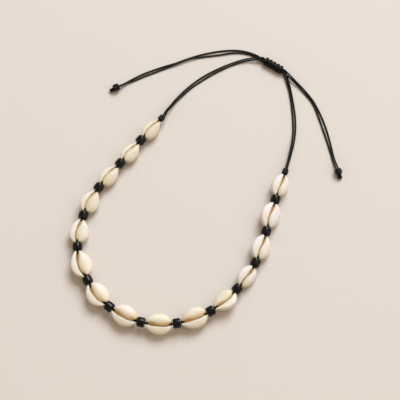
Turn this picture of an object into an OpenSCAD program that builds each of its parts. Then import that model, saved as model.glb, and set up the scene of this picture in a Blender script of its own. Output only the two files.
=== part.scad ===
// Cowrie shell necklace, lying flat with the slits of its shells upward
// Millimetres, +Z up, +Y towards the sliding knot, the surface it lies on at Z = 0

/* [Shells] */
// Length of a full-size shell
shell_l = 17.9; // [15:0.1:22]
// Width of a full-size shell
shell_w = 13.6; // [11:0.1:16]
// Height of a full-size shell
shell_h = 9.2; // [8:0.1:11]
// Wall of a shell at its middle
shell_wall = 1.2; // [0.9:0.1:1.5]
// Wall of a shell at its two ends
shell_tip_wall = 0.55; // [0.4:0.05:0.8]
// Width of the slit at the middle of a shell
slit_w = 1; // [0.6:0.1:1.4]
// Extra width of the slit towards the front end of a shell
slit_flare = 0.8; // [0:0.1:1.2]
// How far the slit runs off the middle of a shell, towards its toothed lip
slit_off = 1.2; // [0:0.1:1.6]
// Depth of the lips that roll into the slit
lip_depth = 1.5; // [1:0.1:2]

/* [Beads] */
// Diameter of a bead
bead_d = 6.5; // [5:0.1:7.5]
// Length of a bead
bead_l = 5; // [4:0.1:7]
// Radius of a bead's rounded rims
bead_rim = 0.9; // [0.3:0.1:1.1]

/* [Cord] */
// Diameter of the thread through the shells and beads
thread_d = 1.1; // [0.8:0.1:1.3]
// Diameter of each of the four cords
cord_d = 1.1; // [0.9:0.1:1.3]
// Radial clearance round the thread and the cords
cord_clear = 0.15; // [0.1:0.05:0.2]
// Clearance between neighbours on the string
string_gap = 0.5; // [0.3:0.05:0.7]

/* [Knots] */
// Diameter of a stop knot
stop_d = 4.6; // [4.2:0.1:5.5]
// Length of a stop knot
stop_l = 4; // [3.4:0.1:5]
// Depth of the sockets of the thread and the cords in the knots
socket_depth = 1.2; // [0.8:0.1:1.5]
// Diameter of an end knot
end_d = 4.9; // [4.4:0.1:5.6]
// Diameter of the stub past an end knot
stub_d = 2.6; // [2:0.1:3.2]
// Length of the sliding knot
slide_l = 15; // [11:0.5:18]
// Width of the sliding knot
slide_w = 5; // [4.6:0.1:7]
// Thickness of the sliding knot
slide_t = 4.4; // [4.3:0.1:5.5]
// Number of wraps in the sliding knot
slide_wraps = 5; // [3:1:7]

/* [Hidden] */
// Columns of the shells' table: share of the full length, share of the full width, degrees
// that it is rolled outward, 1 where its front end comes first on the string or -1 where it
// comes last, how far behind its middle it is widest, and how much its toothed side thins
LONG = 0;
WIDE = 1;
ROLL = 2;
WAY = 3;
BEHIND = 4;
THIN = 5;
// Each row is one shell, from the left stop knot to the right one
shell_rows = [
    [0.90, 0.77, 0, 1, 0.25, 0.7],
    [0.89, 0.82, 0, 1, 0.2, 0.7],
    [0.91, 0.82, -4, 1, 0.2, 0.6],
    [0.90, 0.89, -4, 1, 0.2, 0.3],
    [0.91, 0.90, 4, 1, 0.15, 0.1],
    [1.02, 0.98, 6, 1, 0.1, 0],
    [0.95, 0.99, 12, 1, 0, 0],
    [0.94, 1.00, 20, 1, 0, 0],
    [0.94, 0.98, 22, 1, 0.05, 0],
    [0.95, 1.00, 20, 1, 0.15, 0],
    [0.93, 0.94, -4, 1, 0.2, 0.3],
    [0.86, 0.81, 20, -1, 0, 0.2],
    [0.94, 0.92, 14, -1, 0.1, 0.1],
    [0.98, 0.96, 14, -1, 0, 0.1],
    [0.89, 0.84, 10, -1, 0.05, 0.1]
];
shell_count = len(shell_rows);
bead_count = shell_count - 1;

// Middle line of the string of shells and beads, seen from above
string_route = [
    [-41.5, 33.5], [-47, 12.5], [-52, -9], [-57, -30.5], [-57, -52.5], [-50.5, -73.5],
    [-34, -91], [-13, -101], [9.5, -101.5], [30.5, -92.5], [46.5, -76], [55.5, -55.5],
    [59, -34.5], [56.5, -11.5], [53, 11.5], [51, 32.5]
];

// Places and turns of the knots that lie on the surface
slide_at = [11, 105];
slide_turn = -8.5;
end_right_at = [83, 49];
end_right_turn = -48;
end_left_at = [-81, 43];
end_left_turn = -127;

// Degrees by which the pair of cords is twisted about its middle line, at the knots
stop_twist = 55;
end_right_twist = 50;
end_left_twist = 70;

// Middle lines of the two pairs of cords: x, y and height, then these two columns,
// the distance between the two cords and the twist of the pair in degrees
SPREAD = 3;
TWIST = 4;
left_loop = [
    [-40.8, 40.5, 4.5, 1.3, 60], [-40.2, 44.5, 3.5, 1.3, 65], [-39, 52, 2.1, 1.3, 50],
    [-36.5, 61, 1, 1.6, 10], [-34, 67.5, 0.7, 1.7, 0], [-30.8, 73.8, 0.7, 1.8, 0],
    [-26.8, 80.5, 0.7, 1.5, 0], [-22, 87.2, 0.9, 1.3, 30], [-17, 93.2, 1.1, 1.3, 50],
    [-11.2, 99, 1.4, 1.3, 50], [-5.3, 103.2, 2, 1.3, 40]
];
right_tail = [
    [30.2, 99.8, 1.9, 1.3, 50], [37.6, 96.5, 1.1, 1.3, 30], [45, 92.5, 0.7, 1.3, 0],
    [50, 88.6, 0.7, 1.4, 0], [57, 81.5, 0.7, 1.8, 0], [63.7, 73.7, 0.7, 1.8, 0],
    [70, 65.7, 0.7, 1.4, 0], [75.7, 57.8, 1.2, 1.3, 45]
];
right_loop = [
    [50, 40, 4.5, 1.3, 50], [49.2, 44.5, 3.5, 1.3, 35], [47.2, 55, 1.8, 1.3, 10],
    [44.5, 64.3, 0.9, 1.4, 0], [41.3, 71.8, 0.7, 1.5, 0], [37.8, 78.6, 0.7, 1.5, 0],
    [33, 86.7, 0.7, 1.3, 0], [27.7, 94.8, 0.9, 1.3, 20]
];
left_tail = [
    [-4, 107.8, 0.8, 1.4, 0], [-12, 107, 0.7, 1.7, 0], [-19.6, 104.1, 0.7, 2.1, 0],
    [-28.5, 98.5, 0.7, 2.8, 0], [-38.1, 91.7, 0.7, 1.9, 0], [-45.5, 85.4, 1, 1.3, 45],
    [-51.6, 78.6, 0.9, 1.3, 30], [-58, 72, 0.7, 1.5, 0], [-63, 66.6, 0.7, 1.8, 0],
    [-68.2, 60.8, 0.7, 1.9, 0], [-72.8, 54.8, 0.7, 1.6, 0], [-77.2, 49, 1.1, 1.3, 50]
];

function two_digits(n) = str(n < 10 ? "0" : "", n);

shell_color = [0.95, 0.9, 0.82];
bead_color = [0.06, 0.06, 0.07];
cord_color = [0.12, 0.11, 0.1];
round_fn = 48;

// Smooth curve through points
function at(p, i) =
    i < 0 ? 2 * p[0] - p[1] :
    i >= len(p) ? 2 * p[len(p) - 1] - p[len(p) - 2] :
    p[i];
function on_curve(p, i, u) =
    let (a = at(p, i - 1), b = at(p, i), c = at(p, i + 1), d = at(p, i + 2))
    0.5 * (2 * b + (c - a) * u + (2 * a - 5 * b + 4 * c - d) * u * u
        + (3 * b - a - 3 * c + d) * u * u * u);
function smooth(p, steps) = [
    for (i = [0:len(p) - 2]) for (k = [0:steps - 1]) on_curve(p, i, k / steps),
    p[len(p) - 1]
];

// The string's line, with a straight run past each end, and the length along it
run_out = 60;
function unit(v) = v / norm(v);
string_line = let (s = smooth(string_route, 12), n = len(s)) [
    s[0] + run_out * unit(s[0] - s[1]),
    for (p = s) p,
    s[n - 1] + run_out * unit(s[n - 1] - s[n - 2])
];
function running(p) = [
    for (i = 0, s = -run_out; i < len(p); s = s + norm(at(p, i + 1) - at(p, i)), i = i + 1) s
];
string_at = running(string_line);
string_x = [for (i = [0:len(string_line) - 1]) [string_at[i], string_line[i].x]];
string_y = [for (i = [0:len(string_line) - 1]) [string_at[i], string_line[i].y]];
string_length = string_at[len(string_at) - 2];
function on_string(s) = [lookup(s, string_x), lookup(s, string_y)];

// Where each piece starts along the string, which is centred on its line
function this_length(i) = shell_l * shell_rows[i][LONG];
function before(i) = i <= 0 ? 0 : before(i - 1) + this_length(i - 1) + bead_l + 2 * string_gap;
strung = before(bead_count) + this_length(bead_count) + 2 * string_gap + stop_l;
string_from = (string_length - strung) / 2;
function shell_from(i) = string_from + stop_l / 2 + string_gap + before(i);
function bead_from(i) = shell_from(i) + this_length(i) + string_gap;
left_stop_from = string_from - stop_l / 2;
right_stop_from = shell_from(bead_count) + this_length(bead_count) + string_gap;

// Middle and turn of a piece that spans a stretch of the string
function middle(s, l) = (on_string(s) + on_string(s + l)) / 2;
function turn(s, l) = let (v = on_string(s + l) - on_string(s)) atan2(v.y, v.x);

// Form of a shell, along t from -1 at its back end to 1 at its front end
stations = 13;
end_bottom = 0.52;
end_drop = 0.16;
belly = 0.55;
edge_drop = 0.6;
end_lip = 0.8;
flare_at = 0.55;
flare_spread = 0.3;
outer_angles = [66, 38, 10, -22, -56];
inner_angles = [45, 0, -45];
fullness = 0.9;
channel_r = thread_d / 2 + cord_clear;

function this_width(i) = shell_w * shell_rows[i][WIDE];
function this_height(i) = shell_h * (shell_rows[i][LONG] + shell_rows[i][WIDE]) / 2;
function half_width(i, t, side) = let (tip = channel_r + shell_tip_wall,
    thin = side > 0 ? shell_rows[i][THIN] * max(0, t) : 0,
    swell = pow(max(0, 1 - pow(t + shell_rows[i][BEHIND] * (1 - t * t), 2)), 0.6 + thin))
    tip + (this_width(i) / 2 - tip) * swell;
function top_z(i, t) = this_height(i) * (1 - end_drop * pow(abs(t), 2.5));
function bottom_z(i, t) = this_height(i) * end_bottom * (1 - pow(max(0, 1 - t * t), 0.55));
function wall_at(t) = shell_tip_wall + (shell_wall - shell_tip_wall) * (1 - pow(t, 4));
function slit_middle(t) = slit_off * (1 - t * t) * (1 + 0.3 * t);
function slit_half(t) = let (e = pow(abs(t), 8),
    mid = slit_w / 2 + slit_flare / 2 * exp(-pow((t - flare_at) / flare_spread, 2)))
    mid * (1 - e) + channel_r * e;
function notch_z(i) = this_height(i) * end_bottom + shell_tip_wall + channel_r;
function bent(v) = sign(v) * pow(abs(v), fullness);

// A ring of points round the wall at t: outer side, lips and inner side
function shell_ring(i, t) = let (
    x = t * this_length(i) / 2,
    w = half_width(i, t, 1), v = half_width(i, t, -1),
    g = slit_half(t), m = slit_middle(t), k = wall_at(t),
    zt = top_z(i, t), zb = bottom_z(i, t), ze = zb + belly * (zt - zb),
    lip = end_lip + (lip_depth - end_lip) * (1 - t * t), zl = zt - lip,
    wi = max(w - k, g + 0.05), vi = max(v - k, g + 0.05), zi = zb + k)
    concat(
        [[x, m - g, zt - edge_drop]],
        [for (a = outer_angles) outer_point(x, -1, a, v, g, m, zt, ze, zb)],
        [[x, 0, zb]],
        [for (j = [len(outer_angles) - 1:-1:0])
            outer_point(x, 1, outer_angles[j], w, g, m, zt, ze, zb)],
        [[x, m + g, zt - edge_drop], [x, m + g, zl]],
        [for (a = inner_angles) outer_point(x, 1, a, wi, g, m, zl, ze, zi)],
        [[x, 0, zi]],
        [for (j = [len(inner_angles) - 1:-1:0])
            outer_point(x, -1, inner_angles[j], vi, g, m, zl, ze, zi)],
        [[x, m - g, zl]]
    );
function outer_point(x, side, a, w, g, m, zt, ze, zb) = a >= 0
    ? [x, m * sin(a) + side * (g + (w - g) * bent(cos(a))), ze + (zt - ze) * bent(sin(a))]
    : [x, side * w * bent(cos(a)), ze + (ze - zb) * bent(sin(a))];

// Rolling a shell about the line of its two notches, then standing it on the surface
function rolled(p, i) = let (a = shell_rows[i][ROLL] * shell_rows[i][WAY], h = notch_z(i))
    [p.x, p.y * cos(a) + (p.z - h) * sin(a), h + (p.z - h) * cos(a) - p.y * sin(a)];
shell_rings = [for (i = [0:shell_count - 1]) [
    for (k = [0:stations - 1]) [
        for (p = shell_ring(i, -cos(180 * k / (stations - 1)))) rolled(p, i)
    ]
]];
shell_lift = [for (i = [0:shell_count - 1])
    -min([for (r = shell_rings[i]) for (p = r) p.z])];
function string_z(i) = notch_z(i) + shell_lift[i];
function bead_z(i) = (string_z(i) + string_z(i + 1)) / 2;

// Solid through rings of the same number of points, closed at both ends
function ring_faces(rings, n) = concat(
    [[for (j = [0:n - 1]) j]],
    [for (k = [0:rings - 2]) for (j = [0:n - 1]) let (a = k * n + j, b = k * n + (j + 1) % n)
        each [[a, a + n, b], [b, a + n, b + n]]],
    [[for (j = [n - 1:-1:0]) (rings - 1) * n + j]]
);
module skin(rings) {
    n = len(rings[0]);
    polyhedron(
        points = [for (r = rings) each r],
        faces = ring_faces(len(rings), n),
        convexity = 6
    );
}

// Round tube along points
tube_sides = 8;
function tube_ring(p, k, r) = let (
    d = unit(p[min(k + 1, len(p) - 1)] - p[max(k - 1, 0)]),
    side = unit([-d.y, d.x, 0]), up = cross(d, side))
    [for (j = [0:tube_sides - 1]) let (a = 360 * (j + 0.5) / tube_sides)
        p[k] + r * cos(a) * side + r * sin(a) * up];
module tube(p, d) {
    r = d / 2;
    skin([for (k = [0:len(p) - 1]) tube_ring(p, k, r)]);
}

// Shells and beads
module shell(i) {
    s = shell_from(i);
    l = this_length(i);
    c = middle(s, l);
    flip = shell_rows[i][WAY] > 0 ? 180 : 0;
    color(shell_color)
        translate([c.x, c.y, shell_lift[i]])
            rotate(turn(s, l) + flip)
                skin(shell_rings[i]);
}
module bead_half() {
    bore_r = thread_d / 2 + cord_clear;
    r = bead_d / 2;
    union() {
        translate([bore_r, 0])
            square([r - bead_rim - bore_r, bead_l]);
        translate([bore_r, bead_rim])
            square([r - bore_r, bead_l - 2 * bead_rim]);
        for (y = [bead_rim, bead_l - bead_rim])
            translate([r - bead_rim, y])
                circle(r = bead_rim, $fn = round_fn);
    }
}
module bead(i) {
    s = bead_from(i);
    c = middle(s, bead_l);
    color(bead_color)
        translate([c.x, c.y, bead_z(i)])
            rotate(turn(s, bead_l))
                rotate([0, 90, 0])
                    translate([0, 0, -bead_l / 2])
                        rotate_extrude($fn = round_fn)
                            bead_half();
}

// Thread: into each stop knot, and through each bead and each shell's channel
thread_in = socket_depth - cord_clear;
shell_dip = 0.6;
function lifted(s, z) = concat(on_string(s), [z]);
thread_points = concat(
    [lifted(left_stop_from + stop_l - thread_in, string_z(0))],
    [for (i = [0:bead_count]) let (s = shell_from(i), l = this_length(i), z = string_z(i))
        each concat(
            [lifted(s, z), lifted(s + l / 2, z - shell_dip), lifted(s + l, z)],
            i < bead_count
                ? [lifted(bead_from(i), bead_z(i)), lifted(bead_from(i) + bead_l, bead_z(i))]
                : []
        )],
    [lifted(right_stop_from + thread_in, string_z(bead_count))]
);
module thread() {
    color(cord_color)
        tube(thread_points, thread_d);
}

// Stop knots: the thread comes in at +X and the two cords at -X
pair_gap = 0.2;
pair_pitch = cord_d + 2 * cord_clear + pair_gap;
wrap_count = 3;
wrap_r = stop_l / (2 * wrap_count) + 0.15;
end_wrap_drop = 0.2;
module stop_half() {
    core_r = stop_d / 2 - wrap_r;
    square([core_r, stop_l]);
    for (k = [0:wrap_count - 1]) {
        drop = k == 0 || k == wrap_count - 1 ? end_wrap_drop : 0;
        y = wrap_r + k * (stop_l - 2 * wrap_r) / (wrap_count - 1);
        translate([core_r - drop, y])
            circle(r = wrap_r, $fn = round_fn);
    }
}
module socket(x, y, z, r, depth) {
    translate([x, y, z])
        rotate([0, 90, 0])
            cylinder(r = r, h = depth, $fn = round_fn);
}
module pair_sockets(x, twist, depth) {
    for (side = [-1, 1])
        socket(x, side * pair_pitch / 2 * cos(twist), side * pair_pitch / 2 * sin(twist),
            cord_d / 2 + cord_clear, depth);
}
module stop_knot(s, z, flip) {
    c = middle(s, stop_l);
    color(cord_color)
        translate([c.x, c.y, z])
            rotate(turn(s, stop_l) + flip)
                difference() {
                    rotate([0, 90, 0])
                        translate([0, 0, -stop_l / 2])
                            rotate_extrude($fn = round_fn)
                                stop_half();
                    socket(stop_l / 2 - socket_depth, 0, 0, channel_r, socket_depth + 1);
                    pair_sockets(-stop_l / 2 - 1, -stop_twist, socket_depth + 1);
                }
}

// Sliding knot: a row of wraps round four channels, two over two
wrap_steps = 4;
slide_sides = 12;
valley = 0.14;
function slide_ring(k) = let (
    x = slide_l * (k / (slide_wraps * wrap_steps) - 0.5),
    swollen = 1 - valley * (1 - pow(abs(sin(180 * k / wrap_steps)), 0.8)))
    [for (j = [0:slide_sides - 1]) let (a = 360 * j / slide_sides)
        [x, slide_w / 2 * swollen * bent(cos(a)), slide_t / 2 * swollen * bent(sin(a))]];
module sliding_knot() {
    color(cord_color)
        translate([slide_at.x, slide_at.y, slide_t / 2])
            rotate(slide_turn)
                difference() {
                    skin([for (k = [0:slide_wraps * wrap_steps]) slide_ring(k)]);
                    for (z = [-1, 1])
                        translate([0, 0, z * pair_pitch / 2])
                            pair_sockets(-slide_l / 2 - 1, 0, slide_l + 2);
                }
}

// End knots: a ball with a stub past it, and two cords coming in at -X
stub_sink = 0.3;
end_socket = end_d / 2 - socket_depth;
module end_knot(at, turn, twist) {
    color(cord_color)
        translate([at.x, at.y, end_d / 2])
            rotate(turn)
                difference() {
                    union() {
                        sphere(d = end_d, $fn = round_fn);
                        translate([end_d / 2 + stub_d / 2 - stub_sink, 0, (stub_d - end_d) / 2])
                            sphere(d = stub_d, $fn = round_fn);
                    }
                    pair_sockets(-end_d, twist, end_d - end_socket);
                }
}

// Cords: from the sockets of a stop knot, through the sliding knot, into an end knot
function moved(at, turn, z, x, twist) =
    [at.x + x * cos(turn), at.y + x * sin(turn), z, pair_pitch, twist];
function from_stop(s, z, flip) = let (c = middle(s, stop_l), a = turn(s, stop_l) + flip)
    [for (x = [-stop_l / 2 + thread_in, -stop_l / 2, -stop_l / 2 - 1])
        moved(c, a, z, x, stop_twist)];
function through_slide(way, z) = [
    for (x = [-slide_l / 2 - 2, -slide_l / 2, 0, slide_l / 2, slide_l / 2 + 2])
        moved(slide_at, slide_turn, slide_t / 2 + z * pair_pitch / 2, way * x, 0)
];
function into_end(at, turn, twist) = [
    for (x = [-end_d / 2 - 1, -end_d / 2, -end_socket - cord_clear])
        moved(at, turn, end_d / 2, x, twist)
];
left_pair = concat(
    from_stop(left_stop_from, string_z(0), 0), left_loop,
    through_slide(1, 1), right_tail,
    into_end(end_right_at, end_right_turn, end_right_twist)
);
right_pair = concat(
    from_stop(right_stop_from, string_z(bead_count), 180), right_loop,
    through_slide(-1, -1), left_tail,
    into_end(end_left_at, end_left_turn, end_left_twist)
);
function beside(p, k, side) = let (
    d = at(p, k + 1) - at(p, k - 1), n = unit([-d.y, d.x]),
    apart = side * p[k][SPREAD] / 2, w = apart * cos(p[k][TWIST]),
    h = apart * sin(p[k][TWIST]))
    [p[k].x + w * n.x, p[k].y + w * n.y, p[k].z + h];
cord_steps = 2;
module cord(pair, side) {
    color(cord_color)
        tube(smooth([for (k = [0:len(pair) - 1]) beside(pair, k, side)], cord_steps), cord_d);
}

for (i = [0:shell_count - 1])
    shell(i);
for (i = [0:bead_count - 1])
    bead(i);
thread();
stop_knot(left_stop_from, string_z(0), 0);  // stop_knot_left
stop_knot(right_stop_from, string_z(bead_count), 180);  // stop_knot_right
sliding_knot();
cord(left_pair, 1);  // cord_left_a
cord(left_pair, -1);  // cord_left_b
cord(right_pair, 1);  // cord_right_a
cord(right_pair, -1);  // cord_right_b
end_knot(end_left_at, end_left_turn, end_left_twist);  // end_knot_left
end_knot(end_right_at, end_right_turn, end_right_twist);  // end_knot_right
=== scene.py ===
import math

import bmesh
import bpy
import numpy as np
from bpy.props import FloatProperty, FloatVectorProperty, IntProperty, PointerProperty
from mathutils import Matrix, Vector


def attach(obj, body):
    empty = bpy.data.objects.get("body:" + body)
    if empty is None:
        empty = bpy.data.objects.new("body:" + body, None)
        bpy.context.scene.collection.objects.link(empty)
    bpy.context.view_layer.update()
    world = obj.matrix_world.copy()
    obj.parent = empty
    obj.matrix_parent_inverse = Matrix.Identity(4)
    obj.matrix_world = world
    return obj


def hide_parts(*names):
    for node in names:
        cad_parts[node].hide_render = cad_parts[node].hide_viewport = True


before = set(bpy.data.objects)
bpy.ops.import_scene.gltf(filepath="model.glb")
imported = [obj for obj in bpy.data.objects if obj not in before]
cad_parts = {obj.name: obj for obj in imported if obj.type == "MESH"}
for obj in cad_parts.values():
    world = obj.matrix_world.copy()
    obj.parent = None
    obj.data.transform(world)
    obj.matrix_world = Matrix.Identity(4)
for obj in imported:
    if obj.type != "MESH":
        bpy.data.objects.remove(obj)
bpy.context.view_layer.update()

bl_info = {
    "name": "Cowrie Shell Necklace",
    "version": (1, 0, 0),
    "blender": (4, 5, 0),
    "location": "View3D > Sidebar > Necklace",
    "description": "Builds an adjustable necklace of cowrie shells and black beads piece by piece",
    "category": "Add Mesh",
}

MM = 0.001
# Lines from one point of a table to the next. A cord leaves its knot at its second point
ROUTE_STEPS, CORD_STEPS, THREAD_STEPS, SLIDE_STEPS = 12, 8, 6, 5
# Sides of a cord, the thread, a knot's strand, a knot's core and a bead
CORD_SIDES, THREAD_SIDES, KNOT_SIDES, CORE_SIDES, BEAD_SIDES = 16, 12, 24, 32, 48
# How much fuller these look than in the construction model
CORD_FULLNESS, SLIDE_FULLNESS, END_FULLNESS, STUB_FULLNESS = 1.03, 1.1, 1.09, 1.05
# Room under the knots that lie on the surface, and radius of a point on an axis
LIFT, TINY = 0.08 * MM, 1e-5
# Length of one crossing of a cord's braid, and number of its strands
BRAID_PITCH, BRAID_STRANDS = 0.8 * MM, 8

# Tables of the layout, the same as in the construction model, apart from the shells' looks

# Columns of a shell's row: share of the full length, share of the full width, degrees that it
# is rolled outward, 1 where its front end comes first on the string or -1 where it comes last,
# how far behind its middle it is widest, and how much its toothed side thins
SHELL_ROWS = [
    (0.90, 0.77, 0, 1, 0.25, 0.7),
    (0.89, 0.82, 0, 1, 0.2, 0.7),
    (0.91, 0.82, -4, 1, 0.2, 0.6),
    (0.90, 0.89, -4, 1, 0.2, 0.3),
    (0.91, 0.90, 4, 1, 0.15, 0.1),
    (1.02, 0.98, 6, 1, 0.1, 0),
    (0.95, 0.99, 12, 1, 0, 0),
    (0.94, 1.00, 20, 1, 0, 0),
    (0.94, 0.98, 22, 1, 0.05, 0),
    (0.95, 1.00, 20, 1, 0.15, 0),
    (0.93, 0.94, -4, 1, 0.2, 0.3),
    (0.86, 0.81, 20, -1, 0, 0.2),
    (0.94, 0.92, 14, -1, 0.1, 0.1),
    (0.98, 0.96, 14, -1, 0, 0.1),
    (0.89, 0.84, 10, -1, 0.05, 0.1),
]

# Columns of a shell's looks: how far its slit lies towards its toothed side, and how much slimmer
# its plain side and its toothed side are than in the row above, in millimetres, how much more
# its slit bends behind its middle than before it, how open the slit looks, how tan the plain lip
# is, where the thread comes to light near the front end, as a share of half the length, how much
# blunter the front end is, and how warm the colour is, from 0, white, to 1, straw
SHELL_LOOKS = [
    (0.1, 0, 0.8, 0.9, 0.1, 0.6, 0.92, 0, 0.65),
    (-0.15, 0, 0.9, 1.15, 0.1, 0.2, 0.9, 0, 0.65),
    (0.1, 0, 0.7, 0.6, 0.12, 0.3, 0.92, 0, 0.6),
    (0.6, 0, 0.3, 1.0, 0.2, 0.6, 0.9, 0, 0.6),
    (0.5, 0, 0, 1.0, 0.6, 0.4, 0.88, 0, 0.45),
    (1.0, 0.2, 0, 0.8, 1.1, 0.3, 0.78, -0.12, 0.57),
    (1.0, 0.3, 0, 0.4, 0.9, 0.5, 0.78, -0.15, 0.52),
    (0.05, 0.5, 0, 0.4, 1.15, 0.65, 0.88, -0.12, 0.67),
    (0.05, 0.5, -0.2, 0.6, 1.35, 0.45, 0.88, 0.05, 0.72),
    (-0.35, 0.5, 0, 0.4, 1.15, 0.7, 0.88, 0, 0.7),
    (0.5, 0.3, 0, 0.7, 0.9, 0.4, 0.84, 0, 0.6),
    (-0.75, -0.3, 0.2, 0.85, 0.75, 0.2, 0.9, 0.2, 0.35),
    (-0.6, -0.3, 0, 0.95, 0.75, 0.3, 0.76, 0.08, 0.3),
    (0, 0, 0, 0.9, 0.8, 0.35, 0.76, 0.08, 0.2),
    (-1.0, 0, 0, 0.7, 0.65, 0.3, 0.76, 0, 0.3),
]

# Middle line of the string of shells and beads, seen from above, in millimetres
STRING_ROUTE = [
    (-41.5, 33.5), (-47, 12.5), (-52, -9), (-57, -30.5), (-57, -52.5), (-50.5, -73.5),
    (-34, -91), (-13, -101), (9.5, -101.5), (30.5, -92.5), (46.5, -76), (55.5, -55.5),
    (59, -34.5), (56.5, -11.5), (53, 11.5), (51, 32.5),
]

# Places in millimetres and turns in degrees of the knots that lie on the surface
SLIDE_AT, SLIDE_TURN = (11, 105), -8.5
END_RIGHT_AT, END_RIGHT_TURN = (83, 49), -48
END_LEFT_AT, END_LEFT_TURN = (-81, 43), -127
STOP_TWIST, END_RIGHT_TWIST, END_LEFT_TWIST = 55, 50, 70

# Middle lines of the two pairs of cords: x, y, height and the distance between the two cords
# in millimetres, and the twist of the pair in degrees
LEFT_LOOP = [
    (-40.8, 40.5, 4.5, 1.3, 60), (-40.2, 44.5, 3.5, 1.3, 65), (-39, 52, 2.1, 1.3, 50),
    (-36.5, 61, 1, 1.5, 10), (-34, 67.5, 0.7, 1.7, 0), (-30.8, 73.8, 0.7, 2.0, 0),
    (-26.8, 80.5, 0.7, 1.9, 0), (-22, 87.2, 0.8, 1.6, 10), (-17, 93.2, 1, 1.3, 40),
    (-11.2, 99, 1.4, 1.3, 50), (-5.3, 103.2, 2, 1.3, 40),
]
RIGHT_TAIL = [
    (30.2, 99.8, 1.9, 1.2, 50), (37.6, 96.5, 1.1, 1.2, 30), (45, 92.5, 0.7, 1.2, 0),
    (50, 88.6, 0.7, 1.3, 0), (57, 81.5, 0.7, 2.1, 0), (63.7, 73.7, 0.7, 2.2, 0),
    (70, 65.7, 0.7, 1.7, 0), (75.7, 57.8, 1.1, 1.3, 35),
]
RIGHT_LOOP = [
    (50, 40, 4.5, 1.3, 50), (49.2, 44.5, 3.5, 1.3, 35), (47.2, 55, 1.8, 1.3, 10),
    (44.5, 64.3, 0.9, 1.5, 0), (41.3, 71.8, 0.7, 1.7, 0), (37.8, 78.6, 0.7, 1.6, 0),
    (33, 86.7, 0.7, 1.3, 0), (27.7, 94.8, 0.9, 1.3, 20),
]
LEFT_TAIL = [
    (-4, 107.8, 0.8, 1.2, 0), (-12, 107, 0.7, 1.5, 0), (-19.6, 104.1, 0.7, 2.1, 0),
    (-28.5, 98.5, 0.7, 2.8, 0), (-38.1, 91.7, 0.7, 1.9, 0), (-45.5, 85.4, 1, 1.3, 45),
    (-51.6, 78.6, 0.9, 1.3, 30), (-58, 72, 0.7, 1.6, 0), (-63, 66.6, 0.7, 2.0, 0),
    (-68.2, 60.8, 0.7, 2.0, 0), (-72.8, 54.8, 0.7, 1.6, 0), (-77.2, 49, 1.1, 1.3, 50),
]

# Where the camera stands and what it looks at, in millimetres, and the width of its film
CAMERA_AT, CAMERA_AIM, FILM_WIDTH = (117.8, -245.7, 649.0), (7, -8, 0), 36.0
# Half of the floor in metres, and the picture's gamma
FLOOR_HALF, GAMMA = 3, 0.86
# Columns of a light's row: its name, how far it stands to the right, towards the back and upward,
# in shares of the next number, in metres, its share of the main light's power, and its colour. The
# lights are turned by LIGHT_TURN degrees round the necklace and are LIGHT_SIZE metres across
LIGHT_TURN, LIGHT_SIZE = 25, 2.9
LIGHTS = [
    ("key_light", 0.38, 0.83, 1.02, 3.2, 1.0, (0.83, 0.92, 1.0)),
    ("side_fill", 1.1, -0.1, 1.0, 2.9, 0.12, (1.0, 0.93, 0.85)),
]


def length_setting(name, description, default):
    return FloatProperty(name=name, description=description, default=default, min=0.0,
                         unit="LENGTH", subtype="DISTANCE", precision=5)


def colour_setting(name, description, default):
    return FloatVectorProperty(name=name, description=description, default=default, size=3,
                               min=0.0, max=1.0, subtype="COLOR")


class ShellSettings(bpy.types.PropertyGroup):
    length: length_setting("Length", "Length of a full-size shell", 0.0179)
    width: length_setting("Width", "Width of a full-size shell", 0.0136)
    height: length_setting("Height", "Height of a full-size shell", 0.0092)
    wall: length_setting("Wall", "Wall of a shell at its middle", 0.0012)
    tip_wall: length_setting("Tip wall", "Wall of a shell at its two ends", 0.00055)
    slit: length_setting("Slit", "Width of the slit at the middle of a shell", 0.001)
    slit_flare: length_setting("Slit flare", "Extra width of the slit near the front end", 0.0008)
    slit_off: length_setting("Slit offset", "How far the slit runs off the middle", 0.0012)
    lip_depth: length_setting("Lip depth", "Depth of the lips that roll into the slit", 0.0015)
    tooth_pitch: length_setting("Tooth pitch", "Distance between two teeth of a lip", 0.001)
    tooth_height: length_setting("Tooth height", "How far the teeth reach into the slit", 0.0007)
    white: colour_setting("White", "Colour of the palest glaze", (0.82, 0.77, 0.75))
    straw: colour_setting("Straw", "Colour of the warmest glaze", (0.78, 0.68, 0.47))
    # Tan is also laid in the grooves between the teeth, partly as painted shade there.
    tan: colour_setting("Tan", "Colour beside the slit", (0.66, 0.40, 0.17))
    pink: colour_setting("Pink", "Colour of the clouds in the palest glaze", (0.86, 0.68, 0.60))
    rim: colour_setting("Rim", "Colour of the toothed lip", (0.95, 0.875, 0.755))
    slit_brown: colour_setting("Slit brown", "Colour of a tan shell's slit", (0.58, 0.335, 0.12))
    slit_olive: colour_setting("Slit olive", "Colour of a pale shell's slit", (0.37, 0.25, 0.095))
    slit_shut: colour_setting("Slit shut", "Colour of a nearly closed slit", (0.62, 0.49, 0.29))
    # The colour deep in the slit and on the hollow's inside is painted shade.
    slit_painted_shade: colour_setting("Slit dark", "Colour at the bottom of the slit", (0.25, 0.15, 0.05))


class BeadSettings(bpy.types.PropertyGroup):
    diameter: length_setting("Diameter", "Diameter of a bead", 0.0065)
    length: length_setting("Length", "Length of a bead", 0.005)
    rim: length_setting("Rim", "Radius of a bead's rounded rims", 0.0008)
    barrel: length_setting("Barrel", "How much slimmer a bead is at its rims", 0.00017)
    black: colour_setting("Black", "Colour of the beads", (0.005, 0.0035, 0.0032))
    haze: colour_setting("Haze", "Colour of the clouds in the black", (0.013, 0.008, 0.009))
    dust: colour_setting("Dust", "Colour of the dust", (0.09, 0.08, 0.08))


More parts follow.
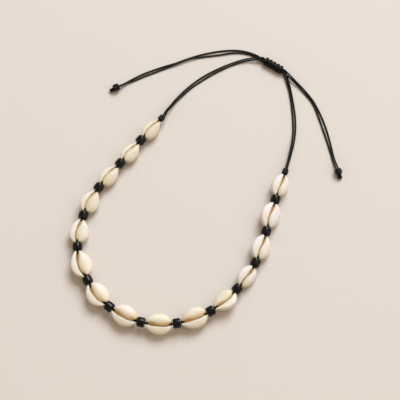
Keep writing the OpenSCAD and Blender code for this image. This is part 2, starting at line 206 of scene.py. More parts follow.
class CordSettings(bpy.types.PropertyGroup):
    diameter: length_setting("Cord", "Diameter of each of the four cords", 0.0011)
    thread: length_setting("Thread", "Diameter of the thread through the shells", 0.0011)
    clearance: length_setting("Clearance", "Room round the thread and the cords", 0.00015)
    string_gap: length_setting("String gap", "Room between neighbours on the string", 0.0005)
    black: colour_setting("Black", "Colour of the waxed cord", (0.010, 0.009, 0.009))
    # Lighter on the braid's high places: the wax, and painted sheen.
    wax_and_sheen: colour_setting("Wax", "Colour of the wax on high places", (0.072, 0.065, 0.062))


class KnotSettings(bpy.types.PropertyGroup):
    stop_diameter: length_setting("Stop knot", "Diameter of a stop knot", 0.0046)
    stop_length: length_setting("Stop knot length", "Length of a stop knot", 0.004)
    socket: length_setting("Socket", "How deep the cords enter the knots", 0.0012)
    end_diameter: length_setting("End knot", "Diameter of an end knot", 0.0049)
    stub: length_setting("Stub", "Diameter of the stub past an end knot", 0.0026)
    slide_length: length_setting("Sliding knot length", "Length of the sliding knot", 0.015)
    slide_width: length_setting("Sliding knot width", "Width of the sliding knot", 0.005)
    slide_thickness: length_setting("Sliding knot thickness", "Thickness of the sliding knot", 0.0044)
    wraps: IntProperty(name="Wraps", description="Number of square knots in the sliding knot",
                       default=5, min=3, max=9)


class StageSettings(bpy.types.PropertyGroup):
    floor: colour_setting("Floor", "Colour of the floor", (0.73, 0.672, 0.635))
    key_power: FloatProperty(name="Key light", description="Power of the main soft light",
                             default=183.3, min=0.0)
    fill_power: FloatProperty(name="Fill light", description="Strength of the light all round",
                              default=0.5106, min=0.0)
    sky: colour_setting("Sky", "Colour of the light all round", (1.0, 0.86, 0.68))
    lens: FloatProperty(name="Lens", description="Focal length of the camera, in millimetres",
                        default=94.32, min=20.0)


# Curves and the layout of the string


def end_or(points, i):
    """Point i of a line, mirrored past its two ends."""
    if i < 0:
        return 2 * points[0] - points[1]
    if i >= len(points):
        return 2 * points[-1] - points[-2]
    return points[i]


def smooth(points, steps):
    """Catmull-Rom curve through points, with steps lines from each point to the next."""
    points = [np.array(p, float) for p in points]
    line = []
    for i in range(len(points) - 1):
        a, b, c, d = (end_or(points, i + k) for k in (-1, 0, 1, 2))
        for u in np.arange(steps) / steps:
            line.append(0.5 * (2 * b + (c - a) * u + (2 * a - 5 * b + 4 * c - d) * u ** 2
                               + (3 * b - a - 3 * c + d) * u ** 3))
    line.append(points[-1])
    return np.array(line)


def ends_of(line):
    """Directions of length 1 in which a line leaves its first and its last point."""
    return [v / np.linalg.norm(v) for v in (line[0] - line[1], line[-1] - line[-2])]


def run_along(line):
    """Running length of each point of a line."""
    return np.concatenate([[0.0], np.cumsum(np.linalg.norm(np.diff(line, axis=0), axis=1))])


class Layout:
    """Where each piece lies on the string and along the cords, in metres."""

    # How far the string's line runs on past its two ends
    run_out = 0.06
    # Extra room between the two cords of a pair, sag of the thread inside a shell, and the
    # straight stretch of a cord outside a knot
    pair_room, sag, lead = 0.2 * MM, 0.6 * MM, MM

    def __init__(self, scene):
        self.shell, self.bead = scene.necklace_shells, scene.necklace_beads
        self.cord, self.knot = scene.necklace_cords, scene.necklace_knots
        line = smooth([(x * MM, y * MM) for x, y in STRING_ROUTE], ROUTE_STEPS)
        first, last = ends_of(line)
        self.line = np.vstack([line[0] + self.run_out * first, line, line[-1] + self.run_out * last])
        self.line_at = run_along(self.line) - self.run_out
        length = self.line_at[-2]
        self.shell_lengths = [self.shell.length * row[0] for row in SHELL_ROWS]
        gap, bead = self.cord.string_gap, self.bead.length
        strung = (sum(self.shell_lengths) + (len(SHELL_ROWS) - 1) * (bead + 2 * gap) + 2 * gap
                  + self.knot.stop_length)
        start = (length - strung) / 2
        self.shell_from = []
        at = start + self.knot.stop_length / 2 + gap
        for this in self.shell_lengths:
            self.shell_from.append(at)
            at += this + bead + 2 * gap
        self.bead_from = [s + l + gap for s, l in zip(self.shell_from, self.shell_lengths)][:-1]
        self.left_stop_from = start - self.knot.stop_length / 2
        self.right_stop_from = self.shell_from[-1] + self.shell_lengths[-1] + gap
        self.forms = [ShellForm(self, i) for i in range(len(SHELL_ROWS))]

    def on_string(self, s):
        return np.array([np.interp(s, self.line_at, self.line[:, k]) for k in (0, 1)])

    def middle(self, s, l):
        return (self.on_string(s) + self.on_string(s + l)) / 2

    def turn(self, s, l):
        x, y = self.on_string(s + l) - self.on_string(s)
        return math.atan2(y, x)

    def seat(self, s, l, z, flip=0.0):
        """Place of a piece of length l that starts s along the string."""
        return placed(*self.middle(s, l), z, self.turn(s, l) + flip)

    def string_z(self, i):
        return self.forms[i].string_z

    def bead_z(self, i):
        return (self.string_z(i) + self.string_z(i + 1)) / 2

    def pair_pitch(self):
        return self.cord.diameter + 2 * self.cord.clearance + self.pair_room

    def thread_points(self):
        """The thread's line, from inside one stop knot through shells and beads to the other."""
        inside = self.knot.socket - self.cord.clearance
        rows = [(self.left_stop_from + self.knot.stop_length - inside, self.string_z(0))]
        for i, (s, l) in enumerate(zip(self.shell_from, self.shell_lengths)):
            z = self.string_z(i)
            rows += [(s, z), (s + l / 2, z - self.sag), (s + l, z)]
            if i < len(self.bead_from):
                rows += [(self.bead_from[i] + b, self.bead_z(i)) for b in (0, self.bead.length)]
        rows.append((self.right_stop_from + inside, self.string_z(-1)))
        return [(*self.on_string(s), z) for s, z in rows]

    def rows(self, at, turn, z, twist, *offsets):
        """Rows of a pair's middle line on the axis of a knot, at those offsets from at."""
        return [(at[0] + x * math.cos(turn), at[1] + x * math.sin(turn), z, self.pair_pitch(),
                 twist) for x in offsets]

    def from_stop(self, s, z, flip):
        """A pair's way out of its stop knot."""
        length = self.knot.stop_length
        into = self.knot.socket - self.cord.clearance
        return self.rows(self.middle(s, length), self.turn(s, length) + flip, z, STOP_TWIST,
                         -length / 2 + into, -length / 2, -length / 2 - self.lead)

    def through_slide(self, way):
        """A pair's way through the sliding knot: the upper row is 1, the lower one -1."""
        half, out = self.knot.slide_length / 2, 2 * self.lead
        z = self.knot.slide_thickness / 2 + way * self.pair_pitch() / 2
        return self.rows([v * MM for v in SLIDE_AT], math.radians(SLIDE_TURN), z, 0,
                         *(way * x for x in (-half - out, -half, 0, half, half + out)))

    def into_end(self, at, turn, twist):
        """A pair's way into its end knot."""
        half = self.knot.end_diameter / 2
        inner = half - self.knot.socket + self.cord.clearance
        return self.rows([v * MM for v in at], math.radians(turn), half, twist,
                         -half - self.lead, -half, -inner)

    def pair(self, side):
        """Middle line of the two cords that leave the left or the right stop knot."""
        def metres(rows):
            return [(x * MM, y * MM, z * MM, spread * MM, twist) for x, y, z, spread, twist in rows]
        if side == "left":
            return (self.from_stop(self.left_stop_from, self.string_z(0), 0) + metres(LEFT_LOOP)
                    + self.through_slide(1) + metres(RIGHT_TAIL)
                    + self.into_end(END_RIGHT_AT, END_RIGHT_TURN, END_RIGHT_TWIST))
        return (self.from_stop(self.right_stop_from, self.string_z(-1), math.pi)
                + metres(RIGHT_LOOP) + self.through_slide(-1) + metres(LEFT_TAIL)
                + self.into_end(END_LEFT_AT, END_LEFT_TURN, END_LEFT_TWIST))

    def cord_line(self, side, which):
        """Middle line of one cord of a pair, which is 1 or -1."""
        rows = np.array(self.pair(side))
        line = []
        for k, row in enumerate(rows):
            d = end_or(rows, k + 1)[:2] - end_or(rows, k - 1)[:2]
            n = np.array([-d[1], d[0]]) / np.linalg.norm(d)
            apart, twist = which * row[3] / 2, math.radians(row[4])
            line.append((*(row[:2] + apart * math.cos(twist) * n), row[2] + apart * math.sin(twist)))
        return smooth(line, CORD_STEPS)


# Form of a shell


def bent(v, fullness):
    """Sines and cosines of a circle squared off towards a box, the more the lower fullness is."""
    return np.sign(v) * np.abs(v) ** fullness


class ShellForm:
    """One shell's wall as a surface: t runs from its back end, -1, to its front end, 1."""

    # Shares of the height: underside at the ends, fall of the top to the ends, widest place
    end_bottom, end_drop, belly = 0.52, 0.16, 0.55
    # Fall of the top at the slit, where it starts in degrees, depth of the lips at the ends, and
    # rounding of the ends
    edge_drop, roll_from, end_lip, end_round = 0.6 * MM, 40, 0.8 * MM, 0.5 * MM
    # Middle and spread of the slit's flare, as shares of half the length
    flare_at, flare_spread = 0.55, 0.3
    # Fullness of the cross section and of the toothed side's top, and lean of the solid's slit
    full, full_toothed, solid_lean = 0.9, 0.74, 0.3
    # How much longer than the solid, and how much shorter the plain lip is
    reach, lip_short = 0.12 * MM, 0.08
    # Width of the zone beside the slit, and height of its teeth over the glaze
    lip_zone, tooth_top = 0.95 * MM, 0.11 * MM
    # Where the teeth end and how fast, and how large and how wide those of the plain lip are
    tooth_end, tooth_fade, plain_share, plain_pitch = 0.93, 0.12, 0.75, 0.86
    # Turn of the teeth from one shell to the next, and on each lip
    next_shell, other_lip = 0.37, 0.25
    # How much a narrow slit closes at its middle, and how that changes along it
    close_by, close_slope = 0.16, 0.12
    # The shelf under the plain lip: its share of the slit, its height and its hollow
    shelf_span, shelf_high, shelf_hollow = 1.96, 0.75 * MM, 0.35 * MM

    def __init__(self, layout, i):
        s, cord = layout.shell, layout.cord
        long, wide, self.roll, self.way, self.behind, self.thin = SHELL_ROWS[i]
        (self.shift, self.slim_plain, self.slim_toothed, self.lean, self.open, self.tan,
         self.thread_from, self.blunt, self.warmth) = SHELL_LOOKS[i]
        self.index, self.set = i, s
        self.length, self.width = s.length * long, s.width * wide
        self.height = s.height * (long + wide) / 2
        self.channel = cord.thread / 2 + cord.clearance
        self.notch_z = self.height * self.end_bottom + s.tip_wall + self.channel
        t = -np.cos(np.pi * np.arange(13) / 12)[:, None]
        q = np.linspace(0, 1, 61)[None, :]
        points, _ = self.wall(t, q, np.zeros_like(q), solid=True)
        self.lift = -points[..., 2].min()
        self.string_z = self.notch_z + self.lift

    def half_width(self, t, side, solid):
        """Half the width at t, on the plain side, -1, or the toothed side, 1."""
        tip = self.channel + self.set.tip_wall
        toothed, smooth_side, slim = self.thin, 0, 0
        if not solid:
            toothed, smooth_side = 1.6 * self.thin - self.blunt, self.behind - self.blunt
            slim = np.where(side < 0, self.slim_plain, self.slim_toothed) * MM
        thin = np.where(side > 0, toothed, smooth_side) * np.maximum(0, t)
        swell = np.maximum(0, 1 - (t + self.behind * (1 - t * t)) ** 2) ** (0.6 + thin)
        return tip + (self.width / 2 - tip - slim) * swell

    def slit_half(self, t):
        """Half the width of the slit at t. It opens to the channel of the thread at the ends."""
        e = np.abs(t) ** 8
        mid = self.set.slit / 2 + self.set.slit_flare / 2 * np.exp(
            -((t - self.flare_at) / self.flare_spread) ** 2)
        return mid * (1 - e) + self.channel * e

    def wall(self, t, q, depth, solid=False):
        """Points of the wall and their marks. q runs from the plain lip, 0, round the bottom to
        the toothed lip, 1, and depth from the outside, 0, to the inside, 1. With solid, the form
        is the construction model's, without teeth."""
        side = np.where(q < 0.5, -1.0, 1.0)
        a = np.radians(90 - 360 * np.minimum(q, 1 - q))
        if solid:
            full, lean, shift, reach, short = self.full, self.solid_lean, 0, 0, 0
        else:
            full = np.where((side > 0) & (np.sin(a) > 0), self.full_toothed, self.full)
            lean, shift, reach = -self.lean, self.shift * MM, self.reach
            short = self.lip_short * np.where(q < 0.5, 1 - 2 * q, 0)
        sin, cos = bent(np.sin(a), full), bent(np.maximum(0, np.cos(a)), full)
        # Half width, half slit, middle of the slit, wall, height of the top, the bottom, the widest
        # place and the lip's underside, and half width and bottom of the hollow
        w, g = self.half_width(t, side, solid), self.slit_half(t)
        m = (self.set.slit_off * (1 + lean * t) + shift) * (1 - t * t)
        k = self.set.tip_wall + (self.set.wall - self.set.tip_wall) * (1 - t ** 4)
        zt = self.height * (1 - self.end_drop * np.abs(t) ** 2.5)
        zb = self.height * self.end_bottom * (1 - np.maximum(0, 1 - t * t) ** 0.55)
        ze = zb + self.belly * (zt - zb)
        zl = zt - (self.end_lip + (self.set.lip_depth - self.end_lip) * (1 - t * t))
        wi, zi = np.maximum(w - k, g + 0.05 * MM), zb + k
        roll_in = np.clip((np.degrees(a) - self.roll_from) / (90 - self.roll_from), 0, 1) ** 2.4
        high = np.sin(a) >= 0

        def layer(half, top, low, drop):
            """The cross section of the outside or the hollow."""
            y = np.where(high, m * np.sin(a) + side * (g + (half - g) * cos), side * half * cos)
            z = np.where(high, ze + (top - ze) * sin, ze + (ze - low) * sin) - drop * roll_in
            return y, z

        yo, zo = layer(w, zt, zb, self.edge_drop)
        yi, zn = layer(wi, zl, zi, 0)
        x = t * (self.length / 2 + reach) * (1 - short) + 0 * q
        past = np.abs(t) * self.length / 2 - (self.length / 2 - self.end_round)
        over = np.clip(past / self.end_round, 0, 0.999)
        pinch = 1.0 if solid else np.sqrt(1 - over ** 2)
        d = 0.5 + (depth - 0.5) * pinch
        y, z = yo * (1 - d) + yi * d, zo * (1 - d) + zn * d
        from_lip = np.where(high, (w - g) * cos, w)
        near = np.exp(-(from_lip / self.lip_zone) ** 2) + 0 * t
        marks = {"near": near, "side": side + 0 * t, "along": t + 0 * q, "depth": depth + 0 * t}
        if not solid:
            # Teeth across both lips, and how far a narrow slit's lips draw together
            fade = np.clip((self.tooth_end - np.abs(t)) / self.tooth_fade, 0, 1)
            share = np.where(side > 0, 1.0, self.plain_share)
            pitch = self.set.tooth_pitch * np.where(side > 0, 1.0, self.plain_pitch)
            turn = x / pitch + self.next_shell * self.index + self.other_lip * side
            ridge = (0.5 + 0.5 * np.cos(2 * np.pi * turn)) ** 0.9
            tooth = ridge * near * fade * share
            rolled = np.sin(np.pi * np.clip(depth, 0, 1))
            closed = ((1 - self.open) * MM * (self.close_by - self.close_slope * np.tanh(3 * t))
                      * np.clip((0.9 - np.abs(t)) / 0.2, 0, 1))
            y = y - side * near * (self.set.tooth_height * (ridge - 0.3) * fade * share
                                   * (0.55 + 0.45 * rolled) + 0.1 * MM * rolled + closed)
            z = z + self.tooth_top * (tooth - 0.4 * near * fade) * (1 - depth)
            # The shelf fills the slit between the places where the thread comes to light, and
            # over it the plain lip draws back where the slit looks open
            ends = np.where(t > 0, (self.thread_from - t) / 0.12, (0.86 + t) / 0.14)
            shelf = np.where(side < 0, near, 0) * np.clip(ends, 0, 1)
            shelf = shelf * (3 - 2 * shelf) * shelf
            back_off = self.open * MM * (0.3 + 0.35 * np.exp(-((t - 0.4) / 0.4) ** 2))
            y = y - np.where(side < 0, near, 0) * fade * back_off * (1 - depth) ** 1.5
            y = y + shelf * (self.shelf_span * g - 1.6 * closed) * depth ** 1.6
            z = z + shelf * (self.shelf_high * depth - self.shelf_hollow * depth ** 3)
            marks["tooth"] = tooth
        angle = math.radians(self.roll * self.way)
        h = self.notch_z
        y, z = (y * math.cos(angle) + (z - h) * math.sin(angle),
                h + (z - h) * math.cos(angle) - y * math.sin(angle))
        return np.stack(np.broadcast_arrays(x, y, z), axis=-1), marks


# Meshes


def mesh_object(name, points, faces, marks=None, uvs=None, matrix=None):
    """A smooth-shaded object from points and faces, with marks as one value per point."""
    mesh = bpy.data.meshes.new(name)
    mesh.from_pydata([tuple(p) for p in points], [], faces)
    for mark, values in (marks or {}).items():
        layer = mesh.attributes.new(mark, "FLOAT", "POINT")
        layer.data.foreach_set("value", np.ascontiguousarray(values, np.float32))
    if uvs is not None:
        layer = mesh.uv_layers.new(name="lay")
        flat = [uv for face in uvs for uv in face]
        layer.data.foreach_set("uv", np.array(flat, np.float32).ravel())
    mesh.polygons.foreach_set("use_smooth", [True] * len(mesh.polygons))
    mesh.update()
    piece = bpy.data.objects.new(name, mesh)
    bpy.context.scene.collection.objects.link(piece)
    if matrix is not None:
        piece.matrix_world = matrix
    bpy.context.view_layer.update()
    return piece


def face_outward(piece):
    work = bmesh.new()
    work.from_mesh(piece.data)
    bmesh.ops.recalc_face_normals(work, faces=work.faces)
    work.to_mesh(piece.data)
    work.free()


def frames_along(line):
    """Two directions square to the line at each of its points, carried along it without twist."""
    tangents = np.gradient(line, axis=0)
    tangents /= np.linalg.norm(tangents, axis=1)[:, None]
    side, sides = np.array([-tangents[0][1], tangents[0][0], 0.0]), []
    for d in tangents:
        side = side - d * np.dot(side, d)
        side = side / np.linalg.norm(side)
        sides.append(side)
    return np.array(sides), np.cross(tangents, sides)


class Tubes:
    """Round tubes along lines, gathered into one mesh with a lay of the cord as its UV map."""

    def __init__(self):
        self.points, self.faces, self.uvs = [], [], []

    def quads(self, base, rings, gaps, sides, uv):
        """Faces across the gaps between rings of points. uv gives a point's place on the map."""
        for k in range(gaps):
            for j in range(sides):
                corners = [(k, j), (k, j + 1), (k + 1, j + 1), (k + 1, j)]
                self.faces.append(tuple(base + a % rings * sides + b % sides for a, b in corners))
                self.uvs.append([uv(a, b) for a, b in corners])

    def add(self, line, radius, sides, round_ends=True):
        """A tube of one radius or of one for each point. round_ends draws its ends in."""
        line = np.array(line, float)
        radii = np.full(len(line), radius) if np.isscalar(radius) else np.array(radius, float)
        if round_ends:
            (first, last), steps = ends_of(line), np.radians([30, 60, 85])
            out = 0.6 * np.sin(steps)[:, None]
            line = np.vstack([line[0] + first * radii[0] * out[::-1], line,
                              line[-1] + last * radii[-1] * out])
            radii = np.concatenate([radii[0] * np.cos(steps[::-1]), radii, radii[-1] * np.cos(steps)])
        across, over = frames_along(line)
        at = run_along(line)
        base = len(self.points)
        for p, a, b, r in zip(line, across, over, radii):
            self.points += [p + r * (math.cos(angle) * a + math.sin(angle) * b)
                            for angle in 2 * np.pi * np.arange(sides) / sides]
        self.quads(base, len(line), len(line) - 1, sides, lambda k, j: (at[k], j / sides))
        for k, order in ((0, -1), (len(line) - 1, 1)):
            self.faces.append(tuple(base + k * sides + j for j in range(sides))[::order])
            self.uvs.append([(at[k], 0.5)] * sides)

    def lathe(self, profile, turns, grow=None):
        """A closed profile of (along x, radius) turned about the x axis. grow gives the share of
        the radius at an angle."""
        base, n = len(self.points), len(profile)
        for k in range(turns):
            angle = 2 * math.pi * k / turns
            swell = 1.0 if grow is None else grow(angle)
            for x, r in profile:
                self.points.append((x, r * swell * math.cos(angle), r * swell * math.sin(angle)))
        self.quads(base, turns, turns, n, lambda k, j: (profile[j % n][0], k / turns))

    def object(self, name, matrix=None):
        return mesh_object(name, self.points, self.faces, uvs=self.uvs, matrix=matrix)


def arc(x, r, radius, start, end, count):
    """Points of a profile on a circle round (x, r), from start to end in degrees."""
    return [(x + radius * math.cos(a), max(r + radius * math.sin(a), TINY))
            for a in np.radians(np.linspace(start, end, count))]


def placed(x, y, z, turn):
    return Matrix.Translation((x, y, z)) @ Matrix.Rotation(turn, 4, "Z")


def lying(at, turn, z):
    """Place of a knot that lies on the surface, from its millimetres and degrees."""
    return placed(at[0] * MM, at[1] * MM, z, math.radians(turn))


def hand_over(piece, material, node):
    """Gives the piece its material and slot, to ride on the necklace in the node's place."""
    piece.data.materials.append(material)
    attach(piece, "root")
    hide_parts(node)


# Materials


def both_ways(operation):
    """An operator and its reflected form, each as one Math node."""
    return (lambda self, other: self.maths(operation, self, other),
            lambda self, other: self.maths(operation, other, self))


class Wire:
    """A socket's value, so that shader maths reads as sums."""

    __add__, __radd__ = both_ways("ADD")
    __sub__, __rsub__ = both_ways("SUBTRACT")
    __mul__, __rmul__ = both_ways("MULTIPLY")
    __pow__, __rpow__ = both_ways("POWER")

    def __init__(self, finish, socket):
        self.finish, self.socket = finish, socket

    def maths(self, operation, *values):
        return self.finish.node("ShaderNodeMath", {"operation": operation},
                                dict(zip(("Value", "Value_001"), values)))

    def sine(self):
        return self.maths("SINE", self)

    def held(self):
        """Kept from 0 to 1."""
        return self.finish.node("ShaderNodeClamp", {}, {"Value": self})

    def eased(self, low, high):
        """Rises smoothly from 0 at low to 1 at high."""
        return self.finish.node("ShaderNodeMapRange", {"interpolation_type": "SMOOTHSTEP"},
                                {"Value": self, "From Min": low, "From Max": high})


class Finish:
    """One material and the calls that add its nodes."""

    def __init__(self, name):
        self.material = bpy.data.materials.new(name)
        self.material.use_nodes = True
        self.tree = self.material.node_tree
        self.tree.nodes.clear()

    def node(self, kind, settings=None, inputs=None, output=0):
        """A node of that kind: its settings are set first, then its sockets get values or links."""
        node = self.tree.nodes.new(kind)
        for name, value in (settings or {}).items():
            setattr(node, name, value)
        for key, value in (inputs or {}).items():
            socket = next(s for s in node.inputs if key in (s.identifier, s.name) and s.enabled)
            if isinstance(value, Wire):
                self.tree.links.new(value.socket, socket)
            elif socket.type == "RGBA" and len(value) == 3:
                socket.default_value = (*value, 1.0)
            else:
                socket.default_value = value
        outputs = [s for s in node.outputs if s.enabled]
        if isinstance(output, str):
            return Wire(self, next(s for s in outputs if s.name == output))
        return Wire(self, outputs[output]) if outputs else None

    def mark(self, name):
        """One of the values that the mesh keeps for each of its points."""
        return self.node("ShaderNodeAttribute", {"attribute_name": name}, output="Fac")

    def colour_mix(self, share, first, second):
        return self.node("ShaderNodeMix", {"data_type": "RGBA"},
                         {"Factor": share, "A": first, "B": second})

    def place(self):
        return self.node("ShaderNodeTexCoord", output="Object")

    def noise(self, vector, scale, detail, roughness=0.5):
        return self.node("ShaderNodeTexNoise", {"noise_dimensions": "3D"},
                         {"Vector": vector, "Scale": scale, "Detail": detail, "Roughness": roughness})

    def bump(self, height, distance):
        return self.node("ShaderNodeBump", {}, {"Height": height, "Distance": distance})

    def surface(self, **inputs):
        """Ends the material in one shader, whose sockets have the names of the inputs."""
        shader = self.node("ShaderNodeBsdfPrincipled", {},
                           {k.replace("_", " "): v for k, v in inputs.items()})
        self.node("ShaderNodeOutputMaterial", {}, {"Surface": shader})
        return self.material


def cowrie_glaze(settings):
    """Glazed cream shell: whiter on the crowns, straw on the flanks, partly painted warm shade low
    down, tan to brown at the slit, darkening deep in it with painted shade, and tan in the grooves
    between the teeth, partly painted shade.
    """
    f = Finish("cowrie_glaze")
    near, side, depth, tooth, low, along = map(
        f.mark, ("near", "side", "depth", "tooth", "low", "along"))
    warmth, seed, tan, blush, closed = map(f.mark, ("warmth", "seed", "tan", "blush", "closed"))
    shift = f.node("ShaderNodeCombineXYZ", {}, {"X": seed, "Y": seed * 1.7, "Z": seed * 0.6})
    place = f.node("ShaderNodeVectorMath", {"operation": "ADD"},
                   {"Vector": f.place(), "Vector_001": shift})
    cloud = f.noise(place, 130.0, 2.0)
    fine = f.noise(place, 900.0, 3.0, 0.6)
    back = (along * -1.0).eased(0.1, 0.95)
    plain_side = (side * -0.5 + 0.5).held()
    # low rises towards the bottom of the shell and adds straw: partly the shell's warmer flanks, partly
    # painted warm shade.
    yellow = (warmth * 0.8 - 0.19 + (cloud - 0.5) * 1.2 + low * warmth + back * 0.2
              + blush * plain_side * 0.5)
    glaze = f.colour_mix(yellow.held(), settings.white, settings.straw)
    glaze = f.colour_mix(((cloud - 0.5) * 3.0).held() * (1 - warmth) * 0.4, glaze, settings.pink)
    blush = (blush * (0.2 + tan * 0.65 + cloud * 0.3)).held()
    glaze = f.colour_mix(blush * (0.12 + plain_side * tan * 0.75), glaze, settings.tan)
    glaze = f.colour_mix(near.eased(0.1, 0.9) * (1 - plain_side) * 0.75, glaze, settings.rim)
    # Tan in the grooves between the teeth and along the lip's edge: partly the shell's colour, partly
    # painted shade in these hollows.
    groove = (near - tooth * (1.3 - plain_side * 0.9)).held() ** 3.5
    glaze = f.colour_mix(groove * (0.5 + plain_side * 0.1), glaze, settings.tan)
    inside = (depth - tooth * 0.2 * (1 - plain_side)).eased(0.01, 0.26)
    brown = f.colour_mix(tan, settings.slit_olive, settings.slit_brown)
    brown = f.colour_mix(closed ** 2 * 0.95, brown, settings.slit_shut)
    # Deeper in the slit and on the hollow's inside the brown darkens: painted shade.
    brown = f.colour_mix(depth.eased(0.5, 1.0) * 0.7, brown, settings.slit_painted_shade)
    glaze = f.colour_mix(inside, glaze, brown)
    tooth_top = (tooth * 1.5 - 0.2).held() * (1 - plain_side) * (1 - depth.eased(0.1, 0.5))
    glaze = f.colour_mix(tooth_top, glaze, settings.rim)
    rough = 0.42 + fine * 0.12 + inside * 0.3
    height = cloud * 0.6 + fine * 0.08
    return f.surface(Base_Color=glaze, Roughness=rough, Normal=f.bump(height, 0.00012),
                     Coat_Weight=0.08, Coat_Roughness=0.25, Subsurface_Weight=0.4,
                     Subsurface_Radius=(0.004, 0.003, 0.0018), Subsurface_Scale=0.5,
                     Specular_IOR_Level=0.3, IOR=1.5)


def bead_gloss(settings):
    """Polished black bead with faint clouds and dust."""
    f = Finish("black_bead_gloss")
    place = f.place()
    dust = f.noise(place, 1500.0, 4.0, 0.65)
    cloud = f.noise(place, 260.0, 2.0)
    colour = f.colour_mix(cloud.eased(0.35, 0.75) * 0.5, settings.black, settings.haze)
    colour = f.colour_mix(dust.eased(0.62, 0.8) * 0.15, colour, settings.dust)
    rough = 0.26 + cloud * 0.12 + dust.eased(0.5, 0.8) * 0.2
    return f.surface(Base_Color=colour, Roughness=rough,
                     Normal=f.bump(cloud + dust * 0.25, 0.00006), Coat_Weight=0.55,
                     Coat_Roughness=0.12, Specular_IOR_Level=0.08, IOR=1.5)


def waxed_cord(settings, name, gloss=0.0, coat=0.0):
    """Waxed cotton cord: a fine braid with wax on its high places, lighter there from the wax and
    from painted sheen. gloss and coat are for knots, where handling has polished it."""
    f = Finish(name)
    lay = f.node("ShaderNodeUVMap", {"uv_map": "lay"})
    along = f.node("ShaderNodeSeparateXYZ", {}, {"Vector": lay}, output="X")
    around = f.node("ShaderNodeSeparateXYZ", {}, {"Vector": lay}, output="Y")
    length, width = along * (2 * math.pi / BRAID_PITCH), around * (math.pi * BRAID_STRANDS)
    one, two = (length + width).sine(), (length - width).sine()
    braid = (one * two * 0.5 + 0.5).held()
    place = f.place()
    fray = f.noise(place, 5200.0, 3.0, 0.6)
    wear = f.noise(place, 240.0, 3.0)
    # Lighter colour on the braid's high places: partly wax, partly painted sheen.
    wax_and_sheen = (braid * 0.7 + fray * 0.5).eased(0.45, 1.0) * wear.eased(0.25, 0.7)
    black = tuple(v * (1 - 0.65 * gloss) for v in settings.black)
    colour = f.colour_mix(wax_and_sheen * (0.8 - 0.6 * gloss), black, settings.wax_and_sheen)
    rough = 0.36 - gloss * 0.24 - wax_and_sheen * 0.14 * (1 - gloss) + fray * 0.1
    height = braid + fray * 0.45
    return f.surface(Base_Color=colour, Roughness=rough,
                     Normal=f.bump(height, 0.00009 - 0.00004 * gloss),
                     Specular_IOR_Level=0.22 - 0.12 * gloss, Coat_Weight=coat,
                     Coat_Roughness=0.11, IOR=1.5)


def plain_floor(settings):
    """Matt floor with the faintest clouds."""
    f = Finish("plain_floor")
    cloud = f.noise(f.place(), 9.0, 3.0)
    darker = tuple(v * 0.97 for v in settings.floor)
    return f.surface(Base_Color=f.colour_mix(cloud * 0.3, settings.floor, darker), Roughness=0.9)


# Operators, one for each piece or group of like pieces


class Undoable:
    """What all the operators share."""
    bl_options = {"REGISTER", "UNDO"}


class NECKLACE_OT_stage(Undoable, bpy.types.Operator):
    """Adds the camera, the soft lights and the plain floor"""
    bl_idname = "necklace.stage"
    bl_label = "Stage"

    def execute(self, context):
        scene, s = context.scene, context.scene.necklace_stage
        data = bpy.data.cameras.new("camera")
        data.lens, data.sensor_width, data.sensor_fit = s.lens, FILM_WIDTH, "HORIZONTAL"
        data.clip_start, data.clip_end = 0.01, 20.0
        camera = bpy.data.objects.new("camera", data)
        scene.collection.objects.link(camera)
        camera.location = Vector(CAMERA_AT) * MM
        target = Vector(CAMERA_AIM) * MM
        camera.rotation_euler = (target - camera.location).to_track_quat("-Z", "Y").to_euler()
        scene.camera = camera

        e = FLOOR_HALF
        floor = mesh_object("floor", [(-e, -e, 0), (e, -e, 0), (e, e, 0), (-e, e, 0)], [(0, 1, 2, 3)])
        floor.data.materials.append(plain_floor(s))

        c, n = math.cos(math.radians(LIGHT_TURN)), math.sin(math.radians(LIGHT_TURN))
        right, back = Vector((c, n, 0)), Vector((-n, c, 0))
        for name, across, behind, above, far, share, colour in LIGHTS:
            lamp = bpy.data.lights.new(name, "AREA")
            lamp.shape, lamp.size, lamp.color = "DISK", LIGHT_SIZE, colour
            lamp.energy = s.key_power * share
            light = bpy.data.objects.new(name, lamp)
            scene.collection.objects.link(light)
            light.location = (back * behind + right * across + Vector((0, 0, above))) * far
            light.rotation_euler = (-light.location).to_track_quat("-Z", "Y").to_euler()

        world = bpy.data.worlds.new("studio")
        world.use_nodes = True
        sky = world.node_tree.nodes["Background"]
        sky.inputs["Color"].default_value = (*s.sky, 1.0)
        sky.inputs["Strength"].default_value = s.fill_power
        scene.world = world
        view = scene.view_settings
        view.view_transform, view.look, view.exposure, view.gamma = "Standard", "None", 0.0, GAMMA
        return {"FINISHED"}


